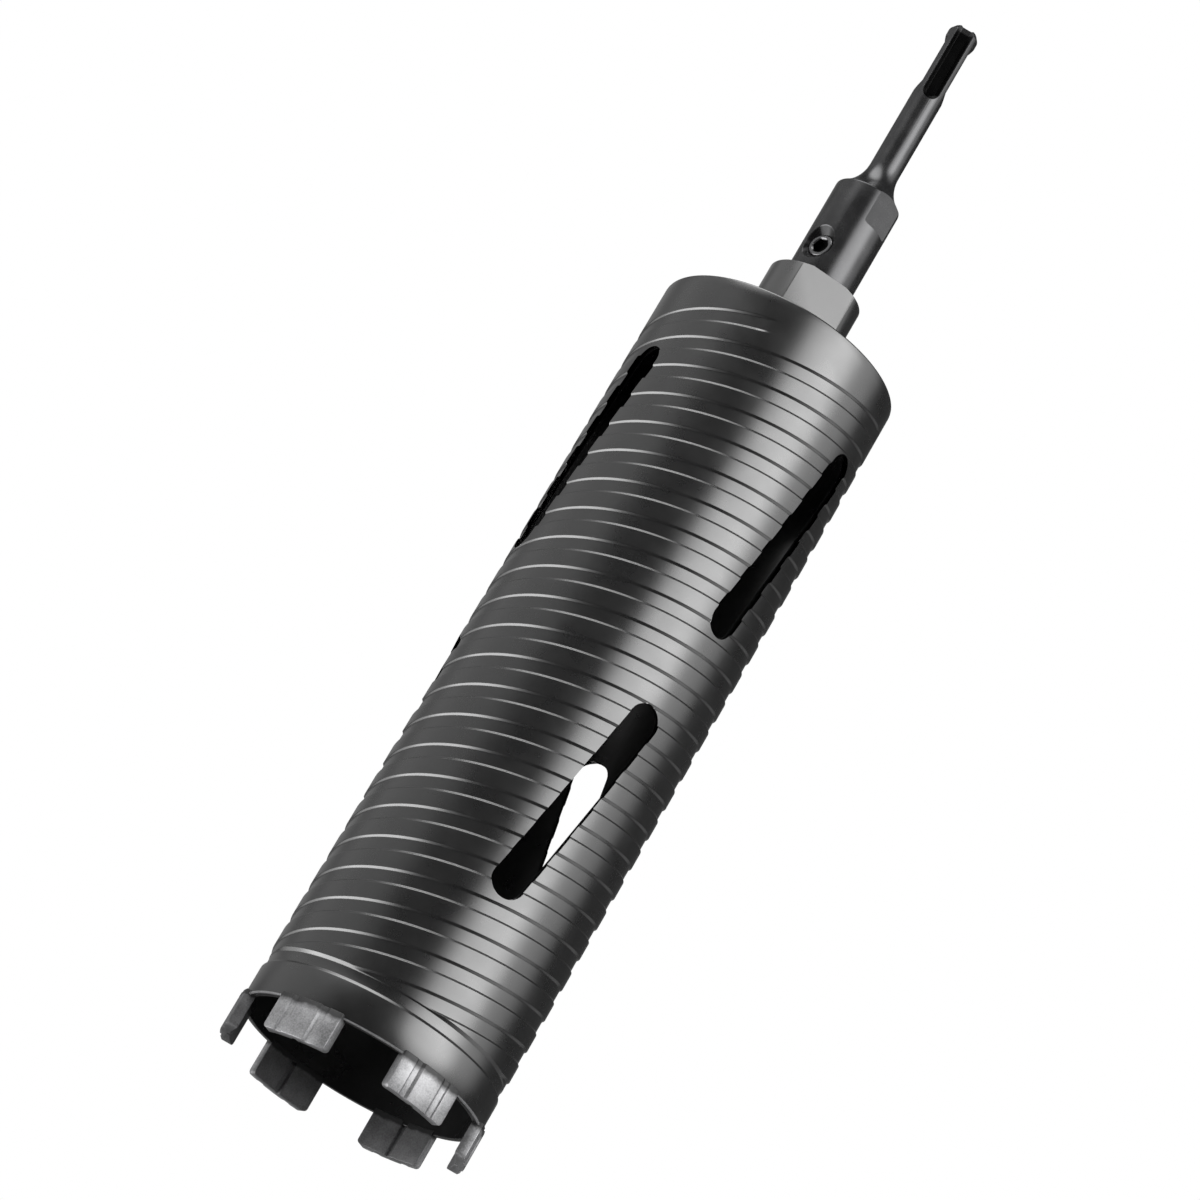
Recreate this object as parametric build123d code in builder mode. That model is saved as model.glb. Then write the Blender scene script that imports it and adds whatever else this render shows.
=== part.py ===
from build123d import *

import os
from math import atan2, cos, degrees, radians, sin, sqrt, tan

# A dry diamond core bit with its screwed-in quick-change adapter, in millimetres.
# The bit stands on the tips of its six segments. +Z runs up the barrel's axis to the end of the shank.
# Azimuths are degrees about +Z from +X, and segment_1 is at azimuth 0.

# Barrel
barrel_diameter = 78.0
barrel_wall = 2.0
barrel_length = 257.6  # from the rim to the closed end
barrel_edge_round = 0.6
rim_chamfer = 0.5

# Ring groove near the rim, and the spiral groove that leaves it
ring_land = 10.6  # plain band between the rim and the ring groove
ring_width = 4.8
ring_depth = 0.8
spiral_starts = 4
spiral_lead = 42.3
spiral_width = 5.1
spiral_depth = 0.55
spiral_wall_run = 0.6  # how far each sloped wall of the groove runs along the barrel
spiral_azimuth = -110.1  # where the first start leaves the ring groove
spiral_top_band = 11.5  # from the closed end down to where the groove begins to run out
run_out_length = 9.0

# Dust slots, in two rows
slot_width = 10.7
slot_length = 74.6
slot_lean = 10.1  # degrees from the axis
slot_row_height = 90.4  # centre of the lower row above the rim
slot_row_spacing = 103.7
lower_slot_azimuths = (-64.9, 58.6, 176.9)  # not quite evenly spaced
upper_slot_azimuths = (-37.5, 83.6, 204.8)

# Diamond segments
segment_count = 6
segment_reach = 10.5  # how far they stand below the rim
segment_seat = 1.2  # how deep they are let into the rim
segment_length = 21.2
segment_thickness = 3.2
side_clearance = 1.0  # how far they stand proud of the barrel
segment_corner = 1.2
channel_width = 2.9
channel_floor = 1.7
channel_depth = 0.6
channel_spacing = 10.4
core_channel_width = 1.9
core_channel_floor = 1.1
core_channel_depth = 0.9
seat_clearance = 0.25
seat_slope_run = 1.4

# End plate and collar
plate_thickness = 6.0
plate_ledge = 1.0
plate_clearance = 0.05
collar_diameter = 30.9
collar_height = 25.85
collar_chamfer = 1.9  # radially, down a 30 degree cone
collar_chamfer_angle = 30.0
collar_flats = 24.4
collar_flat_azimuth = -78.6
thread_diameter = 16.0
thread_clearance = 0.05
thread_chamfer = 1.0

# Adapter body
stud_length = 29.0
stud_chamfer = 1.2
body_diameter = 21.8
body_height = 34.45
body_foot_chamfer = 0.5
body_shoulder_round = 0.5
body_flats = 18.8
body_flat_height = 11.7
body_flat_azimuth = -46.0
body_flat_corner = 1.8
drill_bore_diameter = 8.1
drill_bore_depth = 52.0
drill_point_angle = 118.0
drill_bore_chamfer = 0.8

# Shank
shank_diameter = 10.0
shank_length = 56.2  # straight part, above the flare
flare_radius = 14.4
tip_chamfer_radial = 1.2
tip_chamfer_length = 1.8
shank_azimuth = -88.0  # the first open groove
open_groove_length = 29.1
open_groove_width = 5.8
open_groove_floor_width = 3.0
open_groove_web = 4.6  # metal left between the floors of the two open grooves
ball_groove_gap = 3.7  # from the tip to the closed groove
ball_groove_length = 23.0
ball_groove_lower_ramp = 3.3
ball_groove_upper_ramp = 1.4
ball_groove_radius = 8.0
ball_groove_web = 7.4  # metal left between the floors of the two closed grooves

# Set screw
screw_diameter = 8.0
screw_height = 10.05  # its axis above the foot of the adapter's body
screw_azimuth = -127.5
screw_length = 4.5
screw_sink = 2.05  # its face below the body's surface
screw_socket = 4.6
screw_socket_depth = 2.4
screw_point_chamfer = 0.7
screw_face_chamfer = 0.5
sink_diameter = 12.8  # countersink round the screw hole

# Heights and radii that follow from them
rim = segment_reach
closed_end = rim + barrel_length
collar_top = closed_end + collar_height
body_top = collar_top + body_height
barrel_radius = barrel_diameter / 2
core_radius = barrel_radius - barrel_wall
kerf_radius = barrel_radius + side_clearance
segment_core_radius = kerf_radius - segment_thickness
plate_radius = core_radius + plate_ledge
body_radius = body_diameter / 2
shank_radius = shank_diameter / 2
flare_centre = shank_radius + flare_radius
flare_height = sqrt(flare_radius**2 - (flare_centre - body_radius) ** 2)
shank_foot = body_top + flare_height
tip = shank_foot + shank_length
stud_foot = collar_top - stud_length
beyond = 5.0  # how far a cut runs past what it cuts


def radial_plane(azimuth, height, radius=0.0):
    """A plane that faces outwards at an azimuth, with its x level and its y up the axis."""
    out = Vector(cos(radians(azimuth)), sin(radians(azimuth)), 0)
    level = Vector(-sin(radians(azimuth)), cos(radians(azimuth)), 0)
    return Plane(origin=out * radius + Vector(0, 0, height), x_dir=level, z_dir=out)


# Spiral groove cutter: one start, from the ring groove to the start of the run-out, then straight
# on along the tangent, so that it climbs out of the barrel by itself.
ring_middle = rim + ring_land + ring_width / 2
spiral_end = closed_end - spiral_top_band
groove_floor = barrel_radius - spiral_depth
cutter_reach = spiral_depth + 0.6  # past the barrel's surface
floor_half = spiral_width / 2 - spiral_wall_run
wall_slope = spiral_wall_run / spiral_depth
reach_half = floor_half + cutter_reach * wall_slope
ring_floor_half = ring_width / 2 - ring_depth * wall_slope
ring_reach_half = ring_width / 2 + beyond * wall_slope

with BuildLine() as spiral_path:
    Helix(spiral_lead, spiral_end - ring_middle, groove_floor, center=(0, 0, ring_middle))
spiral_edge = spiral_path.edges()[0]


def groove_section(at):
    """The groove's section across the spiral, with its floor on the path."""
    point = spiral_edge @ at
    outwards = Vector(point.X, point.Y, 0).normalized()
    with BuildSketch(Plane(origin=point, x_dir=outwards, z_dir=spiral_edge % at)) as section:
        with BuildLine():
            Polyline(
                (0, -floor_half),
                (cutter_reach, -reach_half),
                (cutter_reach, reach_half),
                (0, floor_half),
                close=True,
            )
        make_face()
    return section.sketch


def slot_outline(azimuth, height):
    """One leaning dust slot, drawn inside the barrel and facing outwards."""
    with BuildSketch(radial_plane(azimuth, height, core_radius - beyond)) as outline:
        SlotOverall(slot_length, slot_width, rotation=90 - slot_lean)
    return outline.sketch


def seat_outline(azimuth):
    """One shallow seat in the rim, with sloped ends."""
    top_half = segment_length / 2 + seat_clearance
    slope = seat_slope_run / segment_seat
    foot_half = top_half + seat_slope_run + slope * beyond
    with BuildSketch(radial_plane(azimuth, rim, segment_core_radius - beyond)) as outline:
        with BuildLine():
            Polyline(
                (-top_half, segment_seat),
                (top_half, segment_seat),
                (foot_half, -beyond),
                (-foot_half, -beyond),
                close=True,
            )
        make_face()
    return outline.sketch


with BuildPart() as spiral_cutter:
    sweep(groove_section(0), path=spiral_edge, is_frenet=True)
with BuildPart() as run_out_cutter:
    extrude(groove_section(1), amount=run_out_length)

with BuildPart() as barrel_tube:
    with BuildSketch(Plane.XZ):
        with BuildLine():
            Polyline(
                (core_radius, rim),
                (barrel_radius - rim_chamfer, rim),
                (barrel_radius, rim + rim_chamfer),
                (barrel_radius, closed_end),
                (plate_radius, closed_end),
                (plate_radius, closed_end - plate_thickness),
                (core_radius, closed_end - plate_thickness),
                close=True,
            )
        make_face()
    revolve(axis=Axis.Z)
    top_edges = barrel_tube.edges().filter_by(GeomType.CIRCLE).group_by(Axis.Z)[-1]
    fillet(top_edges.sort_by(SortBy.RADIUS)[-1], barrel_edge_round)
    with BuildSketch(Plane.XZ) as ring_groove:
        with BuildLine():
            Polyline(
                (barrel_radius - ring_depth, ring_middle - ring_floor_half),
                (barrel_radius + beyond, ring_middle - ring_reach_half),
                (barrel_radius + beyond, ring_middle + ring_reach_half),
                (barrel_radius - ring_depth, ring_middle + ring_floor_half),
                close=True,
            )
        make_face()
    revolve(axis=Axis.Z, mode=Mode.SUBTRACT)
    with PolarLocations(0, spiral_starts, start_angle=spiral_azimuth):
        add(spiral_cutter.part, mode=Mode.SUBTRACT)
        add(run_out_cutter.part, mode=Mode.SUBTRACT)
    for index in range(segment_count):
        seat = seat_outline(index * 360 / segment_count)
        extrude(seat, amount=barrel_wall + 3 * beyond, mode=Mode.SUBTRACT)
    for row, azimuths in enumerate((lower_slot_azimuths, upper_slot_azimuths)):
        for azimuth in azimuths:
            slot = slot_outline(azimuth, rim + slot_row_height + row * slot_row_spacing)
            extrude(slot, amount=barrel_wall + 2 * beyond, mode=Mode.SUBTRACT)
barrel_tube.part.label = "barrel_tube"

# End plate and collar, turned in one piece. The plate sits on the ledge inside the barrel.
thread_radius = thread_diameter / 2
plate_foot = closed_end - plate_thickness
plate_edge = plate_radius - plate_clearance
collar_radius = collar_diameter / 2

with BuildPart() as end_hub:
    with BuildSketch(Plane.XZ):
        with BuildLine():
            Polyline(
                (thread_radius + thread_chamfer, plate_foot),
                (plate_edge, plate_foot),
                (plate_edge, closed_end),
                (collar_radius, closed_end),
                (collar_radius, collar_top - collar_chamfer * tan(radians(collar_chamfer_angle))),
                (collar_radius - collar_chamfer, collar_top),
                (thread_radius + thread_chamfer, collar_top),
                (thread_radius, collar_top - thread_chamfer),
                (thread_radius, plate_foot + thread_chamfer),
                close=True,
            )
        make_face()
    revolve(axis=Axis.Z)
    for azimuth in (collar_flat_azimuth, collar_flat_azimuth + 180):
        with BuildSketch(radial_plane(azimuth, closed_end, collar_flats / 2)):
            Rectangle(collar_diameter, collar_height + beyond, align=(Align.CENTER, Align.MIN))
        extrude(amount=beyond, mode=Mode.SUBTRACT)
end_hub.part.label = "end_hub"

# Diamond segments, each standing in its own seat with its flat top against the seat's
segments = []
channel_slope = (channel_width - channel_floor) / 2 / channel_depth
core_channel_slope = (core_channel_width - core_channel_floor) / 2 / core_channel_depth
channel_surface = sqrt(kerf_radius**2 - (channel_spacing / 2) ** 2)
for index in range(segment_count):
    turned = Plane.XY.rotated((0, 0, index * 360 / segment_count))
    with BuildPart() as segment:
        with BuildSketch(turned):
            Circle(kerf_radius)
            Circle(segment_core_radius, mode=Mode.SUBTRACT)
            Rectangle(
                2 * kerf_radius,
                segment_length,
                align=(Align.MIN, Align.CENTER),
                mode=Mode.INTERSECT,
            )
            with Locations((channel_surface, -channel_spacing / 2), (channel_surface, channel_spacing / 2)):
                Polygon(
                    (-channel_depth, -channel_floor / 2),
                    (1, -channel_width / 2 - channel_slope),
                    (1, channel_width / 2 + channel_slope),
                    (-channel_depth, channel_floor / 2),
                    align=None,
                    mode=Mode.SUBTRACT,
                )
            with Locations((segment_core_radius, 0)):
                Polygon(
                    (core_channel_depth, -core_channel_floor / 2),
                    (core_channel_depth, core_channel_floor / 2),
                    (-1, core_channel_width / 2 + core_channel_slope),
                    (-1, -core_channel_width / 2 - core_channel_slope),
                    align=None,
                    mode=Mode.SUBTRACT,
                )
        extrude(amount=segment_reach + segment_seat)
        foot = segment.edges().group_by(Axis.Z)[0]
        fillet(foot.filter_by(Axis((0, 0, 0), turned.x_dir)), segment_corner)
    segment.part.label = f"segment_{index + 1}"
    segments.append(segment.part)

# Adapter: threaded stud, body and grooved shank, turned in one piece round the drill bore
stud_radius = thread_radius - thread_clearance
bore_radius = drill_bore_diameter / 2
bore_end = stud_foot + drill_bore_depth
bore_point = bore_radius / tan(radians(drill_point_angle / 2))
screw_axis_height = collar_top + screw_height
open_floor = open_groove_web / 2
open_edge = sqrt(shank_radius**2 - (open_groove_width / 2) ** 2)
open_slope = (open_groove_width - open_groove_floor_width) / 2 / (open_edge - open_floor)
open_floor_foot = tip - open_groove_length + (shank_radius - open_floor) * open_slope
ball_axis = ball_groove_web / 2 + ball_groove_radius
ball_top = tip - ball_groove_gap
ball_foot = ball_top - ball_groove_length
ball_rise = shank_radius - ball_groove_web / 2
flat_chord = 2 * sqrt(body_radius**2 - (body_flats / 2) ** 2) + 0.6  # just wider than the flat
past = 1.0  # how far each ramp of a closed groove runs on past the shank's surface

with BuildPart() as shank_adapter:
    with BuildSketch(Plane.XZ):
        with BuildLine():
            Polyline(
                (bore_radius + drill_bore_chamfer, stud_foot),
                (stud_radius - stud_chamfer, stud_foot),
                (stud_radius, stud_foot + stud_chamfer),
                (stud_radius, collar_top),
                (body_radius - body_foot_chamfer, collar_top),
                (body_radius, collar_top + body_foot_chamfer),
                (body_radius, body_top),
            )
            TangentArc((shank_radius, shank_foot), (body_radius, body_top), tangent=(0, -1))
            Polyline(
                (shank_radius, shank_foot),
                (shank_radius, tip - tip_chamfer_length),
                (shank_radius - tip_chamfer_radial, tip),
                (0, tip),
                (0, bore_end + bore_point),
                (bore_radius, bore_end),
                (bore_radius, stud_foot + drill_bore_chamfer),
                (bore_radius + drill_bore_chamfer, stud_foot),
            )
        make_face()
    revolve(axis=Axis.Z)
    shoulder = shank_adapter.edges().filter_by_position(Axis.Z, body_top - 0.01, body_top + 0.01)
    fillet(shoulder, body_shoulder_round)
    for azimuth in (body_flat_azimuth, body_flat_azimuth + 180):
        flat = radial_plane(azimuth, body_top - body_flat_height, body_flats / 2)
        with BuildSketch(flat) as flat_outline:
            Rectangle(flat_chord, body_flat_height + beyond, align=(Align.CENTER, Align.MIN))
            fillet(flat_outline.vertices().group_by(Axis.Y)[0], body_flat_corner)
        extrude(amount=beyond, mode=Mode.SUBTRACT)
    with Locations(radial_plane(screw_azimuth, screw_axis_height, body_radius)):
        CounterSinkHole(screw_diameter / 2, sink_diameter / 2, body_radius, 90)
    for azimuth in (shank_azimuth, shank_azimuth + 180):
        with BuildSketch(radial_plane(azimuth, open_floor_foot, open_floor)):
            with Locations((0, open_groove_floor_width / 2)):
                Circle(open_groove_floor_width / 2)
                Rectangle(
                    open_groove_floor_width,
                    open_groove_length + beyond,
                    align=(Align.CENTER, Align.MIN),
                )
        extrude(amount=beyond, taper=-degrees(atan2(open_slope, 1)), mode=Mode.SUBTRACT)
    for azimuth in (shank_azimuth + 90, shank_azimuth - 90):
        side = Vector(cos(radians(azimuth)), sin(radians(azimuth)), 0)
        lengthways = Plane(origin=(0, 0, 0), x_dir=side, z_dir=side.cross(Vector(0, 0, 1)))
        with BuildSketch(lengthways):
            with BuildLine():
                Polyline(
                    (ball_axis, ball_foot - past),
                    (shank_radius + past * ball_rise / ball_groove_lower_ramp, ball_foot - past),
                    (ball_groove_web / 2, ball_foot + ball_groove_lower_ramp),
                    (ball_groove_web / 2, ball_top - ball_groove_upper_ramp),
                    (shank_radius + past * ball_rise / ball_groove_upper_ramp, ball_top + past),
                    (ball_axis, ball_top + past),
                    close=True,
                )
            make_face()
        revolve(axis=Axis(side * ball_axis, (0, 0, 1)), mode=Mode.SUBTRACT)
shank_adapter.part.label = "shank_adapter"

# Set screw for the centring drill, with a hexagon socket
with BuildPart() as set_screw:
    screw_face = radial_plane(screw_azimuth, screw_axis_height, body_radius - screw_sink)
    with BuildSketch(screw_face):
        Circle(screw_diameter / 2 - thread_clearance)
    extrude(amount=-screw_length)
    ends = set_screw.edges().filter_by(GeomType.CIRCLE).sort_by(Axis((0, 0, 0), screw_face.z_dir))
    chamfer(ends[0], screw_point_chamfer)
    chamfer(ends[-1], screw_face_chamfer)
    with BuildSketch(screw_face):
        RegularPolygon(screw_socket / 2, 6, major_radius=False)
    extrude(amount=-screw_socket_depth, mode=Mode.SUBTRACT)
set_screw.part.label = "set_screw"

pieces = [barrel_tube.part, end_hub.part, shank_adapter.part, set_screw.part, *segments]
os.makedirs("parts", exist_ok=True)
for piece in pieces:
    export_step(piece, f"parts/{piece.label}.step")
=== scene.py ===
"""Looks for a dry diamond core bit: camera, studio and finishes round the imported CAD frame."""

import math
from math import cos, pi, radians, sin, sqrt, tan

import bmesh
import bpy
from mathutils import Matrix, Vector


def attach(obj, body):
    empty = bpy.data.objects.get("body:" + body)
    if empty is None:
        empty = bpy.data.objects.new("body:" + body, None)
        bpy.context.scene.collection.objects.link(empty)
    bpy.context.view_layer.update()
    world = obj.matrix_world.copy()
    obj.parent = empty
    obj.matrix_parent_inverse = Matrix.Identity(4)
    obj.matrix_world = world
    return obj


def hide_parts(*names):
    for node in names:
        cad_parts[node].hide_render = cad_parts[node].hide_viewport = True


MM = 0.001

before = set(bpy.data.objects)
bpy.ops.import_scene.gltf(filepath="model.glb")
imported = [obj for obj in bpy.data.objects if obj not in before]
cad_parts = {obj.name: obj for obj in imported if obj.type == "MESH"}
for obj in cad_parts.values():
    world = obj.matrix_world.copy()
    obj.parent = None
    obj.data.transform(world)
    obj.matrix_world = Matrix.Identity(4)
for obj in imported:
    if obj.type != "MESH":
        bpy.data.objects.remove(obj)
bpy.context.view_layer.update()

# Camera: below the bit's mouth, looking up along the barrel, and rolled so that the bit leans right
LENS_MM = 141.12
CAMERA_AT = Vector((48.28, -1304.63, -322.48)) * MM
LOOK_AZIMUTH = 92.5
LOOK_ELEVATION = 20.678
CAMERA_ROLL = 30.45

# Barrel, as the source has it, in millimetres and degrees
SEGMENT_REACH = 10.5
BARREL_RADIUS = 39.0
CORE_RADIUS = 37.0
PLATE_RADIUS = 38.0
PLATE_THICKNESS = 6.0
BARREL_LENGTH = 257.6
RIM_CHAMFER = 0.5
TOP_ROUND = 0.6
RING_LAND = 10.6
RING_WIDTH = 4.8
RING_DEPTH = 0.8
GROOVE_STARTS = 4
GROOVE_LEAD = 42.3
GROOVE_WIDTH = 5.1
GROOVE_DEPTH = 0.55
GROOVE_WALL_RUN = 0.6
GROOVE_AZIMUTH = -110.1
GROOVE_TOP_BAND = 11.5
GROOVE_RUN_OUT = 1.12
SPIRAL_TOP_BAND = 3.0
SLOT_WIDTH = 10.7
SLOT_LENGTH = 74.6
SLOT_LEAN = 10.1
SLOT_HEIGHTS = (90.4, 194.1)
SLOT_AZIMUTHS = ((-64.9, 58.6, 176.9), (-37.5, 83.6, 204.8))
SLOT_EDGE_SPREAD = 0.1
SLOT_EDGE_DEPTH = 0.8
RIM = SEGMENT_REACH
CLOSED_END = RIM + BARREL_LENGTH
RING_MIDDLE = RIM + RING_LAND + RING_WIDTH / 2

# The barrel tree's inputs, in metres, a count and radians
BARREL_SIZES = {
    "Barrel Radius": BARREL_RADIUS * MM,
    "Lead": GROOVE_LEAD * MM,
    "Starts": float(GROOVE_STARTS),
    "First Azimuth": radians(GROOVE_AZIMUTH),
    "Groove Width": GROOVE_WIDTH * MM,
    "Groove Depth": GROOVE_DEPTH * MM,
    "Wall Run": GROOVE_WALL_RUN * MM,
    "Groove Origin": RING_MIDDLE * MM,
    "Spiral Foot": (RING_MIDDLE + RING_WIDTH / 2) * MM,
    "Spiral Top": (CLOSED_END - SPIRAL_TOP_BAND) * MM,
    "Groove End": (CLOSED_END - GROOVE_TOP_BAND) * MM,
    "Run-out Rise": GROOVE_RUN_OUT * MM,
}

# End hub, adapter and screw
PLATE_FOOT = CLOSED_END - PLATE_THICKNESS
THREAD_RADIUS = 8.0
COLLAR_RADIUS = 15.45
COLLAR_TOP = CLOSED_END + 25.85
COLLAR_CHAMFER = 1.9
COLLAR_FLATS = 24.4
COLLAR_FLAT_AZIMUTH = -78.6
STUD_RADIUS = 7.95
STUD_FOOT = COLLAR_TOP - 29.0
BORE_RADIUS = 4.05
BORE_END = STUD_FOOT + 52.0
BODY_RADIUS = 10.9
BODY_TOP = COLLAR_TOP + 34.45
BODY_FLAT_AWAY = 9.4
BODY_FLAT_HEIGHT = 11.7
BODY_FLAT_AZIMUTH = -46.0
SHANK_RADIUS = 5.0
FLARE_RADIUS = 14.4
SHANK_FOOT = BODY_TOP + sqrt(FLARE_RADIUS**2 - (SHANK_RADIUS + FLARE_RADIUS - BODY_RADIUS) ** 2)
TIP = SHANK_FOOT + 56.2
SHANK_AZIMUTH = -88.0
OPEN_GROOVE_LENGTH = 29.1
OPEN_GROOVE_FLOOR = 2.3
OPEN_GROOVE_HALF = 1.5
OPEN_GROOVE_SLOPE = 0.79
BALL_GROOVE_FLOOR = 3.7
BALL_GROOVE_RADIUS = 8.0
BALL_GROOVE_DROP = 3.7
BALL_GROOVE_LENGTH = 23.0
SCREW_AZIMUTH = -127.5
SCREW_HEIGHT = COLLAR_TOP + 10.05
SCREW_FACE = BODY_RADIUS - 2.05
SCREW_RADIUS = 3.95
SCREW_LENGTH = 4.5
SOCKET_MOUTH = 2.85
SOCKET_FLATS = 4.6
SOCKET_DEPTH = 2.4

# Soft lights: azimuth, elevation, the bright core's and the faded edge's half angles, and strength
SOFT_LIGHTS = (
    # The bright band down the barrel, and its softer right shoulder
    (-47.0, 22.0, 6.0, 33.0, 4.3),
    (-16.0, 28.0, 4.0, 36.0, 1.3),
    # The lines on the groove walls, from below and from above
    (184.0, -47.0, 14.0, 32.0, 4.4),
    (-146.0, 60.0, 10.0, 30.0, 4.0),
    # The dim left side, the silhouette and the right side
    (182.0, 18.0, 14.0, 50.0, 0.42),
    (108.0, 15.0, 10.0, 36.0, 0.2),
    (48.0, -14.0, 8.0, 26.0, 0.18),
    # Low lights for the sides and the back, which show in the paint only from higher up
    (-150.0, -30.0, 6.0, 28.0, 1.5),
    (2.0, -36.0, 6.0, 28.0, 1.2),
    (150.0, -32.0, 6.0, 28.0, 1.2),
)

# The even light of the room, on dull surfaces and in reflections
ROOM_LIGHT = 0.3
ROOM_IN_GLOSS = 0.05

# The floor's grey, and in metres its half width and its drop below the tips
FLOOR_GREY = 0.86
FLOOR_REACH = 3.0
FLOOR_DROP = 0.0006

# How finely the barrel's surface, the slots' outlines and the screw's circles are divided
COLUMNS = 144
OUTLINE_STEPS = 14
CIRCLE_STEPS = 48

# How far cutters run past what they cut, and how near the barrel's points are merged
CUTTER_REACH = 6.0
MERGE_DISTANCE = 0.004

# Worn paint: its share on the mouth's chamfer. How squarely a plain wall face looks out, which picks
# the slots' bevelled edges for a painted highlight
MOUTH_WORN = 0.16
WALL_FACING = 0.96

# Black paint: greys are linear, noise is in waves a metre
PAINT_GREYS = (0.003, 0.009)
PAINT_ROUGHNESS = (0.25, 0.34)
PAINT_CLOUDS = 45.0
GLOSS_CLOUDS = 120.0
ORANGE_PEEL = 1100.0
ORANGE_PEEL_DEPTH = 0.006
# A light grey: worn paint on the mouth's chamfer, and a painted highlight on the slots' bevelled edges
WORN_AND_HIGHLIGHT_GREY = 0.85
WORN_AND_HIGHLIGHT_PATCHES = 260.0
SATIN_FADE = 0.2
SATIN_ROUGHER = 0.45
SOFT_EDGE = 0.2

# Sintered metal of the segments, the paint that drifted onto it, and painted shade on the segments at
# the left side
POWDER_GREYS = (0.2, 0.43)
POWDER_ROUGHNESS = (0.4, 0.56)
POWDER_GRAIN = 2100.0
POWDER_CLOUDS = 200.0
GRIT_DEPTH = 0.02
OVERSPRAY_AND_SHADE_GREY = 0.02
OVERSPRAY_RAGGED = 1.8
OVERSPRAY_CLOUDS = 350.0
OVERSPRAY_BAND = (RIM - 1.0, RIM + 0.7)
OVERSPRAY_INSIDE = (39.1, 37.6)
PAINTED_SHADE_LEFT = (-30.0, -38.0)

# Blackened steel of the adapter and the screw, and the near black of painted shade in their hollows
STEEL_ROUGHNESS = (0.2, 0.3)
STEEL_CLOUDS = 140.0
TURNING_STRETCH = (60.0, 60.0, 5200.0)
TURNING_DEPTH = 0.004
PAINTED_SHADE_GREY = 0.006
PAINTED_SHADE_RADIUS = (4.7, 4.45)
COUNTERSINK_REACH = 6.8


def direction(azimuth, elevation=0.0):
    """A unit vector, from degrees round from segment_1 and degrees up."""
    level = cos(radians(elevation))
    flat = radians(azimuth)
    return Vector((cos(flat) * level, sin(flat) * level, sin(radians(elevation))))


def add_camera():
    """The photograph's camera, from its place, its line of sight and its roll."""
    data = bpy.data.cameras.new("photo_camera")
    data.lens = LENS_MM
    data.sensor_width = 36
    data.clip_start = 0.01
    camera = bpy.data.objects.new("photo_camera", data)
    level = Matrix.Rotation(radians(LOOK_AZIMUTH - 90), 4, "Z")
    pitch = Matrix.Rotation(radians(90 + LOOK_ELEVATION), 4, "X")
    roll = Matrix.Rotation(radians(CAMERA_ROLL), 4, "Z")
    camera.matrix_world = Matrix.Translation(CAMERA_AT) @ level @ pitch @ roll
    bpy.context.scene.collection.objects.link(camera)
    bpy.context.scene.camera = camera


# Node helpers


def feed(tree, socket, value):
    """Link an output to a socket, or set the socket to a plain value."""
    if isinstance(value, bpy.types.NodeSocket):
        tree.links.new(value, socket)
    else:
        socket.default_value = value


def calc(tree, operation, *values):
    """One Math node."""
    node = tree.nodes.new("ShaderNodeMath")
    node.operation = operation
    for socket, value in zip(node.inputs, values):
        feed(tree, socket, value)
    return node.outputs[0]


def map_range(tree, value, low, high, out_low=0.0, out_high=1.0, kind="LINEAR"):
    """One Map Range node, clamped at both ends."""
    node = tree.nodes.new("ShaderNodeMapRange")
    node.interpolation_type = kind
    limits = {"From Min": low, "From Max": high, "To Min": out_low, "To Max": out_high}
    for name, number in {"Value": value, **limits}.items():
        feed(tree, node.inputs[name], number)
    return node.outputs["Result"]


class Finish:
    """A material being built: its tree, its shader and the noises it shares."""

    def __init__(self, name):
        self.material = bpy.data.materials.new(name)
        self.material.use_nodes = True
        self.tree = self.material.node_tree
        self.shader = self.tree.nodes["Principled BSDF"]
        self.place = self.tree.nodes.new("ShaderNodeTexCoord").outputs["Object"]

    def set(self, **values):
        for name, value in values.items():
            feed(self.tree, self.shader.inputs[name.replace("_", " ")], value)

    def noise(self, per_metre, detail=3.0, roughness=0.5, stretch=None):
        """Noise on object coordinates. A stretch scales each axis first."""
        node = self.tree.nodes.new("ShaderNodeTexNoise")
        node.inputs["Scale"].default_value = per_metre
        node.inputs["Detail"].default_value = detail
        node.inputs["Roughness"].default_value = roughness
        place = self.place
        if stretch:
            mapping = self.tree.nodes.new("ShaderNodeMapping")
            mapping.inputs["Scale"].default_value = stretch
            self.tree.links.new(place, mapping.inputs["Vector"])
            place = mapping.outputs["Vector"]
        self.tree.links.new(place, node.inputs["Vector"])
        return node.outputs["Fac"]

    def blend(self, share, first, second):
        """Mix two colours."""
        node = self.tree.nodes.new("ShaderNodeMix")
        node.data_type = "RGBA"
        feed(self.tree, node.inputs["Factor"], share)
        feed(self.tree, node.inputs["A"], first)
        feed(self.tree, node.inputs["B"], second)
        return node.outputs["Result"]

    def axes(self):
        """Distance from the bit's axis, height, and the way to segment_1."""
        node = self.tree.nodes.new("ShaderNodeSeparateXYZ")
        self.tree.links.new(self.place, node.inputs[0])
        x, y, z = node.outputs
        squares = [calc(self.tree, "POWER", side, 2.0) for side in (x, y)]
        return calc(self.tree, "SQRT", calc(self.tree, "ADD", *squares)), z, x

    def bump(self, height, depth_mm, edge_mm):
        """Bump by a height field, on edges softened by a radius."""
        soft = self.tree.nodes.new("ShaderNodeBevel")
        soft.samples = 4
        soft.inputs["Radius"].default_value = edge_mm * MM
        node = self.tree.nodes.new("ShaderNodeBump")
        node.inputs["Strength"].default_value = 1.0
        node.inputs["Distance"].default_value = depth_mm * MM
        self.tree.links.new(height, node.inputs["Height"])
        self.tree.links.new(soft.outputs["Normal"], node.inputs["Normal"])
        self.tree.links.new(node.outputs["Normal"], self.shader.inputs["Normal"])


def grey(value):
    """A neutral grey with a trace of blue."""
    return (value, value, value * 1.02, 1.0)


# Finishes


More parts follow.
